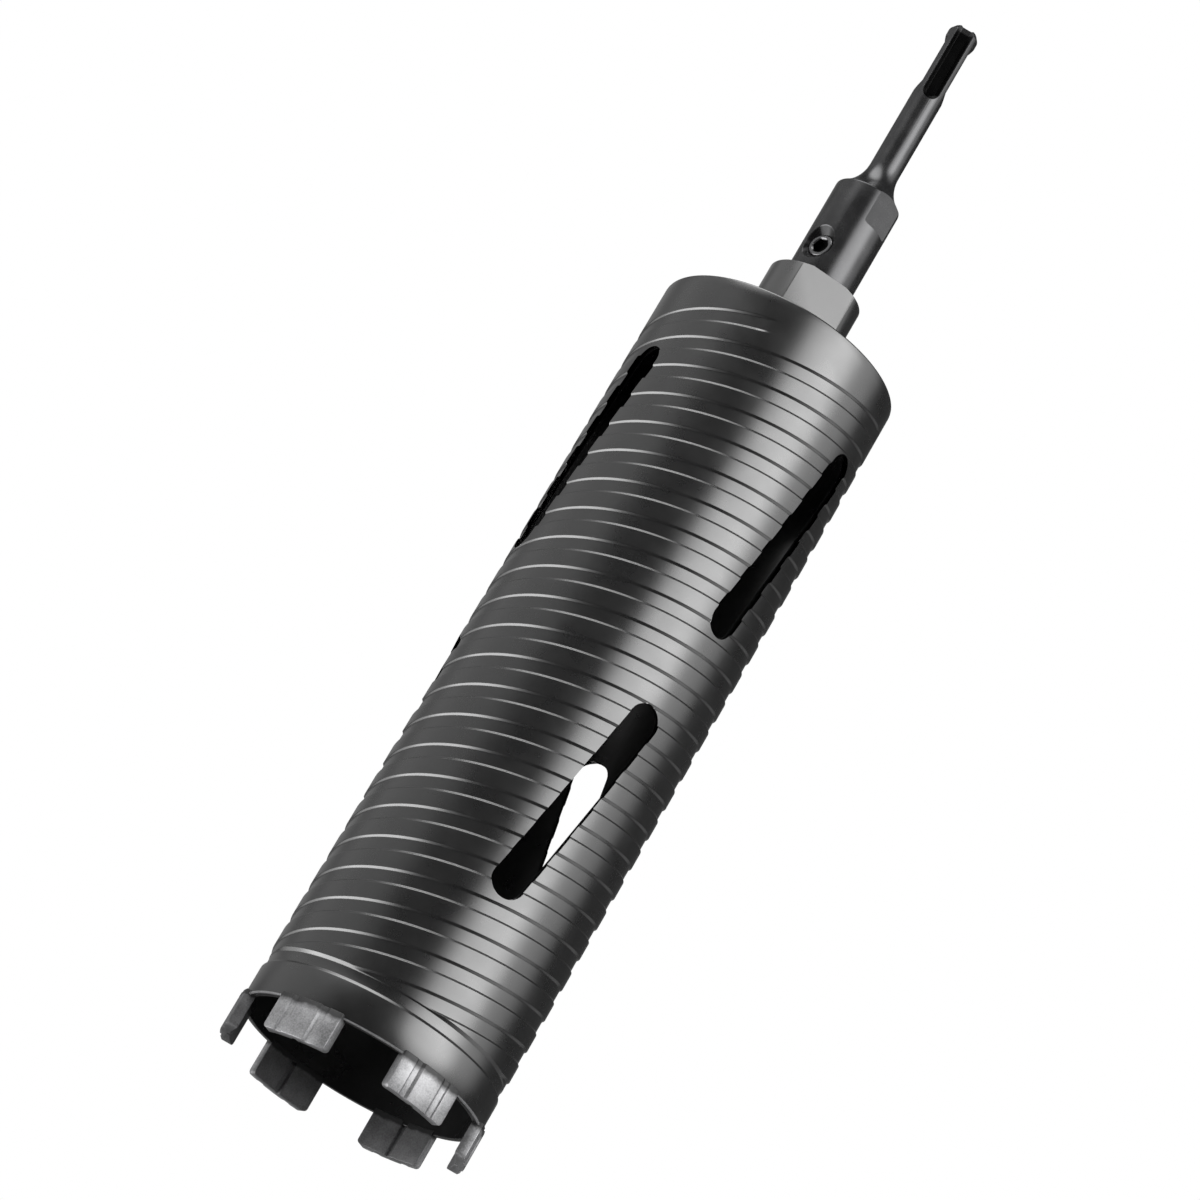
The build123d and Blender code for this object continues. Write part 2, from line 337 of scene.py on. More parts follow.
def black_paint(name, coat, coat_ior, satin_below=0.0):
    """Semi-gloss black paint with a faint orange peel, a painted highlight on the slots' edges and
    paint worn thin on the mouth's chamfer, where the mesh marks them.

    Below a height in millimetres, if one is given, the paint is satin and has no clear coat.
    """
    paint = Finish(name)
    tree = paint.tree
    # Light grey where the mesh marks it: a painted highlight on the slots' edges, worn paint on the
    # mouth's chamfer
    worn = tree.nodes.new("ShaderNodeAttribute")
    worn.attribute_name = "worn_thin"
    patches = map_range(tree, paint.noise(WORN_AND_HIGHLIGHT_PATCHES), 0.35, 0.6, 0.7, 1.0)
    worn = calc(tree, "MULTIPLY", worn.outputs["Fac"], patches)
    dark, light = PAINT_GREYS
    black = paint.blend(paint.noise(PAINT_CLOUDS, detail=4.0), grey(dark), grey(light))
    gloss = map_range(tree, paint.noise(GLOSS_CLOUDS, detail=5.0), 0.3, 0.7, *PAINT_ROUGHNESS)
    if satin_below:
        _, height, _ = paint.axes()
        satin = map_range(tree, height, satin_below * MM, (satin_below + SATIN_FADE) * MM, 1.0, 0.0)
        gloss = calc(tree, "ADD", gloss, calc(tree, "MULTIPLY", satin, SATIN_ROUGHER))
        coat = map_range(tree, satin, 0.0, 1.0, coat, 0.0)
    paint.set(
        Base_Color=paint.blend(worn, black, grey(WORN_AND_HIGHLIGHT_GREY)),
        Roughness=gloss,
        Specular_IOR_Level=1.0,
        Coat_Weight=coat,
        Coat_IOR=coat_ior,
        Coat_Roughness=0.2,
    )
    paint.bump(paint.noise(ORANGE_PEEL, detail=2.0), ORANGE_PEEL_DEPTH, SOFT_EDGE)
    return paint.material


def sintered_metal():
    """Pressed metal powder with diamond grit, with black overspray near the rim and inside, and painted
    shade on the segments at the left side.
    """
    metal = Finish("sintered_segment")
    tree = metal.tree
    grain = metal.noise(POWDER_GRAIN, detail=5.0, roughness=0.6)
    shares = ((grain, 0.6), (metal.noise(POWDER_CLOUDS), 0.4))
    tone = calc(tree, "ADD", *[calc(tree, "MULTIPLY", noise, share) for noise, share in shares])
    dark, light = POWDER_GREYS
    bare = metal.blend(map_range(tree, tone, 0.36, 0.64), grey(dark), grey(light))

    def fade(value, ends, low=0.0, high=1.0):
        return map_range(tree, value, ends[0] * MM, ends[1] * MM, low, high)

    radius, height, x = metal.axes()
    ragged = calc(tree, "MULTIPLY", metal.noise(OVERSPRAY_CLOUDS, detail=4.0), OVERSPRAY_RAGGED * MM)
    near_rim = fade(calc(tree, "ADD", height, ragged), OVERSPRAY_BAND)
    inside = calc(tree, "MULTIPLY", fade(radius, OVERSPRAY_INSIDE), 0.6)
    overspray_and_shade = calc(tree, "MAXIMUM", near_rim, inside)
    # Painted shade: the segments towards the left side, at -x, get the dark grey too
    overspray_and_shade = calc(tree, "MAXIMUM", overspray_and_shade, fade(x, PAINTED_SHADE_LEFT, 0.0, 0.75))
    metal.set(
        Base_Color=metal.blend(overspray_and_shade, bare, grey(OVERSPRAY_AND_SHADE_GREY)),
        Metallic=map_range(tree, overspray_and_shade, 0.0, 1.0, 0.75, 0.1),
        Roughness=map_range(tree, grain, 0.3, 0.7, *POWDER_ROUGHNESS),
    )
    metal.bump(grain, GRIT_DEPTH, 0.1)
    return metal.material


def painted_shade_on_adapter(steel):
    """The share of painted shade: all of it in the shank's grooves, some in the countersink."""
    tree = steel.tree

    def fade(value, start, stop, low=0.0, high=1.0):
        return map_range(tree, value, start * MM, stop * MM, low, high)

    radius, height, _ = steel.axes()
    above_flare = fade(height, SHANK_FOOT + 1, SHANK_FOOT + 2)
    below_tip = fade(height, TIP - 1.5, TIP - 2.1)
    on_shank = calc(tree, "MULTIPLY", above_flare, below_tip)
    grooves = calc(tree, "MULTIPLY", fade(radius, *PAINTED_SHADE_RADIUS), on_shank)
    sunk = fade(radius, BODY_RADIUS - 0.12, BODY_RADIUS - 0.3, 0.0, 0.7)
    above = calc(tree, "GREATER_THAN", height, (SCREW_HEIGHT - COUNTERSINK_REACH) * MM)
    below = calc(tree, "LESS_THAN", height, (SCREW_HEIGHT + COUNTERSINK_REACH) * MM)
    countersink = calc(tree, "MULTIPLY", sunk, calc(tree, "MULTIPLY", above, below))
    return calc(tree, "MAXIMUM", grooves, countersink)


def painted_shade_in_socket(steel):
    """The share of painted shade in the socket: all of it below the screw's face, along the screw's
    axis.
    """
    along = steel.tree.nodes.new("ShaderNodeVectorMath")
    along.operation = "DOT_PRODUCT"
    steel.tree.links.new(steel.place, along.inputs[0])
    along.inputs[1].default_value = direction(SCREW_AZIMUTH)
    along = along.outputs["Value"]
    return map_range(steel.tree, along, (SCREW_FACE - 0.1) * MM, (SCREW_FACE - 0.4) * MM)


def turned_steel(name, dark, light, edge_mm, painted_shade):
    """Blackened steel with the fine rings of turning, and painted shade where a share says so."""
    steel = Finish(name)
    rings = steel.noise(1.0, detail=4.0, roughness=0.7, stretch=TURNING_STRETCH)
    cloud = steel.noise(STEEL_CLOUDS, detail=4.0)
    handled = steel.blend(cloud, grey(dark), grey(light))
    # Painted shade: near black where the share says so
    steel.set(
        Base_Color=steel.blend(painted_shade(steel), handled, grey(PAINTED_SHADE_GREY)),
        Metallic=0.85,
        Roughness=map_range(steel.tree, cloud, 0.3, 0.7, *STEEL_ROUGHNESS),
    )
    steel.bump(rings, TURNING_DEPTH, edge_mm)
    return steel.material


# Barrel


def wall_samples():
    """Offsets from a groove's middle for one pitch of rows, close together at its walls."""
    land_half = GROOVE_LEAD / GROOVE_STARTS / 2
    top_half = GROOVE_WIDTH / 2
    floor_half = top_half - GROOVE_WALL_RUN
    lower = [-land_half, -(land_half + top_half) / 2, -top_half - 0.2, -top_half - 0.07]
    lower += [-top_half + 0.07, -(top_half + floor_half) / 2, -floor_half - 0.07]
    lower += [-floor_half + 0.07, -floor_half + 0.2, -floor_half / 2]
    return lower + [0.0] + [-offset for offset in reversed(lower[1:])]


def barrel_rows():
    """The barrel's section: rows of radius, height, skewed along the spiral, sunk by grooves."""
    pitch = GROOVE_LEAD / GROOVE_STARTS
    slope = GROOVE_WALL_RUN / GROOVE_DEPTH
    half = RING_WIDTH / 2
    floor_half = half - RING_DEPTH * slope
    rows = [
        (CORE_RADIUS, RIM, 0, 0),
        (BARREL_RADIUS - RIM_CHAMFER, RIM, 0, 0),
        (BARREL_RADIUS - RIM_CHAMFER / 4, RIM + RIM_CHAMFER / 4, 0, 0),
        (BARREL_RADIUS, RIM + RIM_CHAMFER, 0, 0),
        (BARREL_RADIUS, RIM + RING_LAND / 2, 0, 0),
        (BARREL_RADIUS, RING_MIDDLE - half - 0.12, 0, 0),
        (BARREL_RADIUS - 0.06, RING_MIDDLE - half + 0.1, 0, 0),
        (BARREL_RADIUS - RING_DEPTH + 0.06, RING_MIDDLE - floor_half - 0.1, 0, 0),
        (BARREL_RADIUS - RING_DEPTH, RING_MIDDLE - floor_half + 0.12, 0, 0),
        (BARREL_RADIUS - RING_DEPTH, RING_MIDDLE + floor_half, 0, 0),
    ]
    for step in range(1, 6):
        rise = RING_DEPTH * step / 5
        rows.append((BARREL_RADIUS - RING_DEPTH + rise, RING_MIDDLE + floor_half + rise * slope, 0, 1))
    base = RING_MIDDLE - GROOVE_LEAD * GROOVE_AZIMUTH / 360
    first = int((RING_MIDDLE - GROOVE_LEAD - base) / pitch) - 1
    last = int((CLOSED_END - base) / pitch) + 1
    for turn in range(first, last):
        for offset in wall_samples():
            rows.append((BARREL_RADIUS, base + turn * pitch + offset, 1, 1))
    for step in range(4):
        angle = radians(30 * step)
        radius = BARREL_RADIUS - TOP_ROUND * (1 - cos(angle))
        rows.append((radius, CLOSED_END - TOP_ROUND * (1 - sin(angle)), 0, 0))
    rows += [
        (PLATE_RADIUS, CLOSED_END, 0, 0),
        (PLATE_RADIUS, CLOSED_END - PLATE_THICKNESS, 0, 0),
        (CORE_RADIUS, CLOSED_END - PLATE_THICKNESS, 0, 0),
        (CORE_RADIUS, RIM, 0, 0),
    ]
    return rows


def rows_object(rows):
    """The section as a loose row of points, which the barrel's tree samples by number."""
    mesh = bpy.data.meshes.new("barrel_rows")
    mesh.from_pydata([(row[0] * MM, 0, row[1] * MM) for row in rows], [], [])
    for name, place in (("skewed", 2), ("grooved", 3)):
        marks = mesh.attributes.new(name, "FLOAT", "POINT")
        marks.data.foreach_set("value", [float(row[place]) for row in rows])
    rows_holder = bpy.data.objects.new("barrel_rows", mesh)
    bpy.context.scene.collection.objects.link(rows_holder)
    return rows_holder


def slot_outline(spread):
    """A leaning slot's outline, in millimetres across and up, spread outwards by a margin."""
    half_width = SLOT_WIDTH / 2 + spread
    reach = (SLOT_LENGTH - SLOT_WIDTH) / 2
    points = []
    for end in (1, -1):
        for step in range(OUTLINE_STEPS + 1):
            angle = pi * step / OUTLINE_STEPS
            points.append((half_width * cos(angle) * end, (reach + half_width * sin(angle)) * end))
        for step in range(1, OUTLINE_STEPS):
            points.append((-half_width * end, (reach - 2 * reach * step / OUTLINE_STEPS) * end))
    lean = radians(SLOT_LEAN)
    return [(x * cos(lean) + z * sin(lean), z * cos(lean) - x * sin(lean)) for x, z in points]


def slot_cutters():
    """One closed cutter for each dust slot, which also bevels the slot's outer edge."""
    cutters = bmesh.new()
    spread = SLOT_EDGE_SPREAD
    for height, azimuths in zip(SLOT_HEIGHTS, SLOT_AZIMUTHS):
        for azimuth in azimuths:
            out = direction(azimuth)
            level = direction(azimuth + 90)
            loops = []
            for margin, radius, flat in (
                (0, 0, CORE_RADIUS - CUTTER_REACH),
                (0, BARREL_RADIUS - SLOT_EDGE_DEPTH, 0),
                (spread, BARREL_RADIUS, 0),
                (spread * 1.1, BARREL_RADIUS + 0.1, 0),
                (spread * 1.1, 0, BARREL_RADIUS + CUTTER_REACH),
            ):
                loop = []
                for x, z in slot_outline(margin):
                    away = flat or sqrt(radius**2 - x**2)
                    point = out * away + level * x + Vector((0, 0, RIM + height + z))
                    loop.append(cutters.verts.new(point * MM))
                loops.append(loop)
            for inner, outer in zip(loops, loops[1:]):
                for index in range(len(inner)):
                    after = (index + 1) % len(inner)
                    cutters.faces.new((inner[index], outer[index], outer[after], inner[after]))
            cutters.faces.new(loops[0])
            cutters.faces.new(list(reversed(loops[-1])))
    bmesh.ops.recalc_face_normals(cutters, faces=cutters.faces)
    mesh = bpy.data.meshes.new("slot_cutters")
    cutters.to_mesh(mesh)
    cutters.free()
    holder = bpy.data.objects.new("slot_cutters", mesh)
    bpy.context.scene.collection.objects.link(holder)
    return holder


def grooved_tube_tree():
    """Geometry nodes that turn the rows round the axis, sink the spiral's grooves and cut the slots."""
    tree = bpy.data.node_groups.new("grooved_tube", "GeometryNodeTree")
    tree.interface.new_socket("Rows", in_out="INPUT", socket_type="NodeSocketGeometry")
    tree.interface.new_socket("Columns", in_out="INPUT", socket_type="NodeSocketInt")
    for name in BARREL_SIZES:
        tree.interface.new_socket(name, in_out="INPUT", socket_type="NodeSocketFloat")
    tree.interface.new_socket("Cutters", in_out="INPUT", socket_type="NodeSocketObject")
    tree.interface.new_socket("Material", in_out="INPUT", socket_type="NodeSocketMaterial")
    tree.interface.new_socket("Barrel", in_out="OUTPUT", socket_type="NodeSocketGeometry")
    nodes, links = tree.nodes, tree.links
    given = nodes.new("NodeGroupInput").outputs
    result = nodes.new("NodeGroupOutput")

    def call(kind, **inputs):
        node = nodes.new(kind)
        for name, value in inputs.items():
            feed(tree, node.inputs[name.replace("_", " ")], value)
        return node

    count = call("GeometryNodeAttributeDomainSize", Geometry=given["Rows"]).outputs["Point Count"]
    row_span = calc(tree, "SUBTRACT", count, 1.0)
    grid = nodes.new("GeometryNodeMeshGrid")
    links.new(row_span, grid.inputs["Size X"])
    links.new(given["Columns"], grid.inputs["Size Y"])
    links.new(count, grid.inputs["Vertices X"])
    links.new(calc(tree, "ADD", given["Columns"], 1.0), grid.inputs["Vertices Y"])
    position = nodes.new("GeometryNodeInputPosition").outputs[0]
    flat = call("ShaderNodeSeparateXYZ", Vector=position).outputs
    row = calc(tree, "ROUND", calc(tree, "ADD", flat["X"], calc(tree, "MULTIPLY", row_span, 0.5)))
    share = calc(tree, "ADD", calc(tree, "DIVIDE", flat["Y"], given["Columns"]), 0.5)
    azimuth = calc(tree, "MULTIPLY", share, 2 * pi)

    def sampled(kind, value):
        node = nodes.new("GeometryNodeSampleIndex")
        node.data_type = kind
        links.new(given["Rows"], node.inputs["Geometry"])
        links.new(value, node.inputs["Value"])
        links.new(row, node.inputs["Index"])
        return node.outputs["Value"]

    section = sampled("FLOAT_VECTOR", position)
    section = call("ShaderNodeSeparateXYZ", Vector=section).outputs

    def mark(name):
        named = nodes.new("GeometryNodeInputNamedAttribute")
        named.data_type = "FLOAT"
        named.inputs["Name"].default_value = name
        return sampled("FLOAT", named.outputs["Attribute"])

    spiral = mark("skewed")
    skewed = calc(tree, "ADD", section["Z"], calc(tree, "MULTIPLY", given["Lead"], share))
    skewed = calc(tree, "MINIMUM", skewed, given["Spiral Top"])
    skewed = calc(tree, "MAXIMUM", skewed, given["Spiral Foot"])
    straight = calc(tree, "MULTIPLY", section["Z"], calc(tree, "SUBTRACT", 1.0, spiral))
    height = calc(tree, "ADD", straight, calc(tree, "MULTIPLY", skewed, spiral))

    turned = calc(tree, "DIVIDE", calc(tree, "SUBTRACT", azimuth, given["First Azimuth"]), 2 * pi)
    middle = calc(tree, "ADD", given["Groove Origin"], calc(tree, "MULTIPLY", given["Lead"], turned))
    half_pitch = calc(tree, "DIVIDE", given["Lead"], calc(tree, "MULTIPLY", given["Starts"], 2.0))
    lowest = calc(tree, "MULTIPLY", half_pitch, -1.0)
    offset = calc(tree, "WRAP", calc(tree, "SUBTRACT", height, middle), half_pitch, lowest)
    top_half = calc(tree, "MULTIPLY", given["Groove Width"], 0.5)
    floor_half = calc(tree, "SUBTRACT", top_half, given["Wall Run"])
    across = calc(tree, "ABSOLUTE", offset)
    sunk = map_range(tree, across, floor_half, top_half, 1.0, 0.0)
    past_end = calc(tree, "SUBTRACT", calc(tree, "SUBTRACT", height, offset), given["Groove End"])
    climb = map_range(tree, past_end, 0.0, given["Run-out Rise"])
    sunk = calc(tree, "MULTIPLY", sunk, calc(tree, "SUBTRACT", 1.0, calc(tree, "POWER", climb, 2.0)))
    sunk = calc(tree, "MULTIPLY", calc(tree, "MULTIPLY", sunk, mark("grooved")), given["Groove Depth"])
    cut_down = calc(tree, "SUBTRACT", given["Barrel Radius"], sunk)
    radius = calc(tree, "MINIMUM", section["X"], cut_down)

    place = nodes.new("ShaderNodeCombineXYZ")
    links.new(calc(tree, "MULTIPLY", radius, calc(tree, "COSINE", azimuth)), place.inputs["X"])
    links.new(calc(tree, "MULTIPLY", radius, calc(tree, "SINE", azimuth)), place.inputs["Y"])
    links.new(height, place.inputs["Z"])
    shaped = call("GeometryNodeSetPosition", Geometry=grid.outputs["Mesh"], Position=place.outputs[0])
    closed = call("GeometryNodeMergeByDistance", Geometry=shaped.outputs[0])
    closed.inputs["Distance"].default_value = MERGE_DISTANCE * MM
    cutters = call("GeometryNodeObjectInfo", Object=given["Cutters"])
    cut = nodes.new("GeometryNodeMeshBoolean")
    cut.operation = "DIFFERENCE"
    cut.solver = "EXACT"
    links.new(closed.outputs[0], cut.inputs["Mesh 1"])
    links.new(cutters.outputs["Geometry"], cut.inputs["Mesh 2"])
    real = call("GeometryNodeRealizeInstances", Geometry=cut.outputs["Mesh"])
    painted = call("GeometryNodeSetMaterial", Geometry=real.outputs[0], Material=given["Material"])
    links.new(painted.outputs[0], result.inputs[0])
    return tree


def input_id(tree, name):
    return next(item.identifier for item in tree.interface.items_tree if item.name == name)


def wear_edges(piece, width, angle, segments=2):
    """Round every edge sharper than an angle, by a width in millimetres."""
    worn = piece.modifiers.new("worn_edges", "BEVEL")
    worn.width = width * MM
    worn.segments = segments
    worn.limit_method = "ANGLE"
    worn.angle_limit = radians(angle)
    return settled(piece, piece.name.split(".")[0])


def settled(holder, name):
    """A plain mesh object from what an object's modifiers give. The object itself is removed."""
    evaluated = holder.evaluated_get(bpy.context.evaluated_depsgraph_get())
    mesh = bpy.data.meshes.new_from_object(evaluated)
    mesh.name = name
    bpy.data.objects.remove(holder)
    piece = bpy.data.objects.new(name, mesh)
    bpy.context.scene.collection.objects.link(piece)
    return piece


def smooth(piece, sharp_angle):
    mesh = piece.data
    mesh.polygons.foreach_set("use_smooth", [True] * len(mesh.polygons))
    mesh.set_sharp_from_angle(angle=radians(sharp_angle))
    mesh.update()


def dress(piece, slot, *nodes):
    """The piece rides on the bit and stands for its CAD nodes, which are hidden. Its slot is not used.
    """
    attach(piece, "root")
    if nodes:
        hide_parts(*nodes)


def past_slot(point, azimuth, height):
    """How far a point of the wall, in millimetres, lies outside a dust slot's outline."""
    angle = radians(azimuth)
    across = point.y * cos(angle) - point.x * sin(angle)
    up = point.z - RIM - height
    lean = radians(SLOT_LEAN)
    along = abs(across * sin(lean) + up * cos(lean)) - (SLOT_LENGTH - SLOT_WIDTH) / 2
    return math.hypot(max(along, 0), across * cos(lean) - up * sin(lean)) - SLOT_WIDTH / 2


def mark_highlit_and_worn_rims(mesh):
    """Mark a painted highlight on the dust slots' bevelled edges, and paint worn thin on the mouth's
    chamfer.
    """
    slots = []
    for height, azimuths in zip(SLOT_HEIGHTS, SLOT_AZIMUTHS):
        slots += [(azimuth, height) for azimuth in azimuths]
    shares = []
    for face in mesh.polygons:
        middle = face.center / MM
        radial = Vector((middle.x, middle.y, 0))
        tilted = face.normal.dot(radial.normalized()) < WALL_FACING
        share = 0.0
        # Painted highlight: the slots' bevelled edges get the full light grey
        if tilted and BARREL_RADIUS - SLOT_EDGE_DEPTH < radial.length < BARREL_RADIUS - 0.01:
            for azimuth, height in slots:
                on_side = radial.dot(direction(azimuth)) > 0
                if on_side and -0.06 < past_slot(middle, azimuth, height) < SLOT_EDGE_SPREAD:
                    share = 1.0
        if middle.z < RIM + RIM_CHAMFER and radial.length > BARREL_RADIUS - RIM_CHAMFER:
            share = MOUTH_WORN
        shares.append(share)
    worn = mesh.attributes.new("worn_thin", "FLOAT", "FACE")
    worn.data.foreach_set("value", shares)


def add_barrel(paint):
    """The grooved barrel with bevelled slot edges. The rim is plain here: the CAD has the seats."""
    holder = rows_object(barrel_rows())
    cutters = slot_cutters()
    tree = grooved_tube_tree()
    maker = holder.modifiers.new("grooved_tube", "NODES")
    maker.node_group = tree
    for name, value in {"Columns": COLUMNS, **BARREL_SIZES}.items():
        maker[input_id(tree, name)] = value
    maker[input_id(tree, "Cutters")] = cutters
    maker[input_id(tree, "Material")] = paint
    barrel = settled(holder, "barrel")
    bpy.data.objects.remove(cutters)
    shape = bmesh.new()
    shape.from_mesh(barrel.data)
    bmesh.ops.recalc_face_normals(shape, faces=shape.faces)
    shape.to_mesh(barrel.data)
    shape.free()
    mark_highlit_and_worn_rims(barrel.data)
    smooth(barrel, 32)
    dress(barrel, "barrel_paint", "barrel_tube")


# Turned and milled pieces


def plain_object(name, shape, material=None):
    """A new object from a bmesh, which is freed."""
    mesh = bpy.data.meshes.new(name)
    shape.to_mesh(mesh)
    shape.free()
    if material:
        mesh.materials.append(material)
    made = bpy.data.objects.new(name, mesh)
    bpy.context.scene.collection.objects.link(made)
    return made


def eased(points):
    """A closed profile of (radius, height). A third value rounds that corner by a reach from it."""
    result = []
    for index, point in enumerate(points):
        corner = Vector(point[:2])
        if len(point) == 2:
            result.append(corner)
            continue
        before = Vector(points[index - 1][:2])
        after = Vector(points[(index + 1) % len(points)][:2])
        start = corner + (before - corner).normalized() * point[2]
        stop = corner + (after - corner).normalized() * point[2]
        for share in (0, 0.33, 0.67, 1):
            along = start.lerp(corner, share).lerp(corner.lerp(stop, share), share)
            result.append(along)
    return result


def turned(profile, sides):
    """A bmesh of a closed profile turned round the bit's axis."""
    shape = bmesh.new()
    rings = []
    for side in range(sides):
        angle = 2 * pi * side / sides
        points = [Vector((r * cos(angle), r * sin(angle), z)) for r, z in profile]
        rings.append([shape.verts.new(point * MM) for point in points])
    for side, ring in enumerate(rings):
        following = rings[(side + 1) % sides]
        for index in range(len(profile)):
            after = (index + 1) % len(profile)
            if profile[index][0] == 0 and profile[after][0] == 0:
                continue
            shape.faces.new((ring[index], following[index], following[after], ring[after]))
    bmesh.ops.remove_doubles(shape, verts=shape.verts, dist=0.0005 * MM)
    bmesh.ops.recalc_face_normals(shape, faces=shape.faces)
    return shape


def loft(shape, loops):
    """A closed solid through loops of points in millimetres, with a flat face at each end."""
    rings = [[shape.verts.new(Vector(point) * MM) for point in loop] for loop in loops]
    faces = [shape.faces.new(rings[0]), shape.faces.new(list(reversed(rings[-1])))]
    for inner, outer in zip(rings, rings[1:]):
        for index in range(len(inner)):
            after = (index + 1) % len(inner)
            faces.append(shape.faces.new((inner[index], outer[index], outer[after], inner[after])))
    bmesh.ops.recalc_face_normals(shape, faces=faces)


def facing(azimuth, outline, away, height):
    """An outline of (across, up) points put up facing an azimuth, at a distance from the axis."""
    out = direction(azimuth) * away
    level = direction(azimuth + 90)
    return [out + level * x + Vector((0, 0, height + z)) for x, z in outline]


def circle(radius, steps=CIRCLE_STEPS):
    """Points round a circle."""
    angles = [2 * pi * step / steps for step in range(steps)]
    return [(radius * cos(angle), radius * sin(angle)) for angle in angles]


def hexagon(across_flats):
    """A hexagon with as many points as a circle, so that a loft can join the two."""
    points = []
    for step in range(CIRCLE_STEPS):
        angle = 2 * pi * step / CIRCLE_STEPS
        radius = across_flats / 2 / cos(angle % (pi / 3) - pi / 6)
        points.append((radius * cos(angle), radius * sin(angle)))
    return points


def cut(piece, cutters):
    """The piece with its cutters taken away, as a plain mesh object."""
    holder = plain_object("cutters", cutters)
    milling = piece.modifiers.new("milling", "BOOLEAN")
    milling.operation = "DIFFERENCE"
    milling.solver = "EXACT"
    milling.object = holder
    finished = settled(piece, piece.name.split(".")[0])
    bpy.data.objects.remove(holder)
    return finished


def add_hub(paint):
    """The end plate and its collar, with the collar's two flats."""
    chamfer_drop = COLLAR_CHAMFER * tan(radians(30))
    plate_edge = PLATE_RADIUS - 0.05
    profile = eased(
        [
            (THREAD_RADIUS + 1, PLATE_FOOT),
            (plate_edge, PLATE_FOOT),
            (plate_edge, CLOSED_END, 0.25),
            (COLLAR_RADIUS + 0.45, CLOSED_END),
            (COLLAR_RADIUS, CLOSED_END + 0.45),
            (COLLAR_RADIUS, COLLAR_TOP - chamfer_drop, 0.2),
            (COLLAR_RADIUS - COLLAR_CHAMFER, COLLAR_TOP, 0.2),
            (THREAD_RADIUS + 1, COLLAR_TOP),
            (THREAD_RADIUS, COLLAR_TOP - 1),
            (THREAD_RADIUS, PLATE_FOOT + 1),
        ]
    )
    hub = plain_object("hub", turned(profile, 128), paint)
    cutters = bmesh.new()
    width, tall = COLLAR_RADIUS, COLLAR_TOP - CLOSED_END + 5
    outline = [(-width, 0), (width, 0), (width, tall), (-width, tall)]
    for azimuth in (COLLAR_FLAT_AZIMUTH, COLLAR_FLAT_AZIMUTH + 180):
        near = facing(azimuth, outline, COLLAR_FLATS / 2, CLOSED_END)
        loft(cutters, [near, facing(azimuth, outline, COLLAR_FLATS / 2 + CUTTER_REACH, CLOSED_END)])
    hub = wear_edges(cut(hub, cutters), 0.42, 25, 3)
    smooth(hub, 20)
    dress(hub, "hub_paint", "end_hub")


def adapter_profile():
    """The adapter's section: stud, body, flare, shank and the bore for a centring drill."""
    flare = []
    widest = math.acos((SHANK_RADIUS + FLARE_RADIUS - BODY_RADIUS) / FLARE_RADIUS)
    for step in range(13):
        angle = widest * (1 - step / 12)
        radius = SHANK_RADIUS + FLARE_RADIUS * (1 - cos(angle))
        flare.append((radius, SHANK_FOOT - FLARE_RADIUS * sin(angle)))
    flare[0] = (BODY_RADIUS, BODY_TOP, 0.3)
    return eased(
        [
            (BORE_RADIUS + 0.8, STUD_FOOT),
            (STUD_RADIUS - 1.2, STUD_FOOT),
            (STUD_RADIUS, STUD_FOOT + 1.2),
            (STUD_RADIUS, COLLAR_TOP),
            (BODY_RADIUS - 0.5, COLLAR_TOP, 0.1),
            (BODY_RADIUS, COLLAR_TOP + 0.5, 0.2),
            *flare,
            (SHANK_RADIUS, TIP - 1.8, 0.3),
            (SHANK_RADIUS - 1.2, TIP, 0.25),
            (0, TIP),
            (0, BORE_END + BORE_RADIUS / tan(radians(59))),
            (BORE_RADIUS, BORE_END),
            (BORE_RADIUS, STUD_FOOT + 0.8),
        ]
    )


def body_flats(cutters):
    """Cutters for the body's two spanner flats, round at their lower corners."""
    half = sqrt(BODY_RADIUS**2 - BODY_FLAT_AWAY**2) + 0.3
    corner = 1.8
    outline = []
    for end, first in ((-1, 180), (1, 270)):
        for step in range(6):
            angle = radians(first + 18 * step)
            across = end * (half - corner) + corner * cos(angle)
            outline.append((across, corner + corner * sin(angle)))
    outline += [(half, 17), (-half, 17)]
    foot = BODY_TOP - BODY_FLAT_HEIGHT
    for azimuth in (BODY_FLAT_AZIMUTH, BODY_FLAT_AZIMUTH + 180):
        near = facing(azimuth, outline, BODY_FLAT_AWAY, foot)
        loft(cutters, [near, facing(azimuth, outline, BODY_FLAT_AWAY + 5, foot)])


def screw_hole(cutters):
    """Cutter for the set screw's hole and its countersink."""
    hole = ((4, 0), (4, BODY_RADIUS - 2.4), (6.4, BODY_RADIUS), (8.4, BODY_RADIUS + 2))
    rings = [facing(SCREW_AZIMUTH, circle(radius), away, SCREW_HEIGHT) for radius, away in hole]
    loft(cutters, rings)


def open_grooves(cutters):
    """Cutters for the shank's two grooves that run out at its tip, with sloping walls."""
    foot = TIP - OPEN_GROOVE_LENGTH + (SHANK_RADIUS - OPEN_GROOVE_FLOOR) * OPEN_GROOVE_SLOPE
    for azimuth in (SHANK_AZIMUTH, SHANK_AZIMUTH + 180):
        loops = []
        for away in (OPEN_GROOVE_FLOOR, SHANK_RADIUS + 0.7):
            radius = OPEN_GROOVE_HALF + (away - OPEN_GROOVE_FLOOR) * OPEN_GROOVE_SLOPE
            outline = []
            for step in range(13):
                angle = pi + pi * step / 12
                outline.append((radius * cos(angle), OPEN_GROOVE_HALF + radius * sin(angle)))
            outline += [(radius, OPEN_GROOVE_LENGTH + 3), (-radius, OPEN_GROOVE_LENGTH + 3)]
            loops.append(facing(azimuth, outline, away, foot))
        loft(cutters, loops)


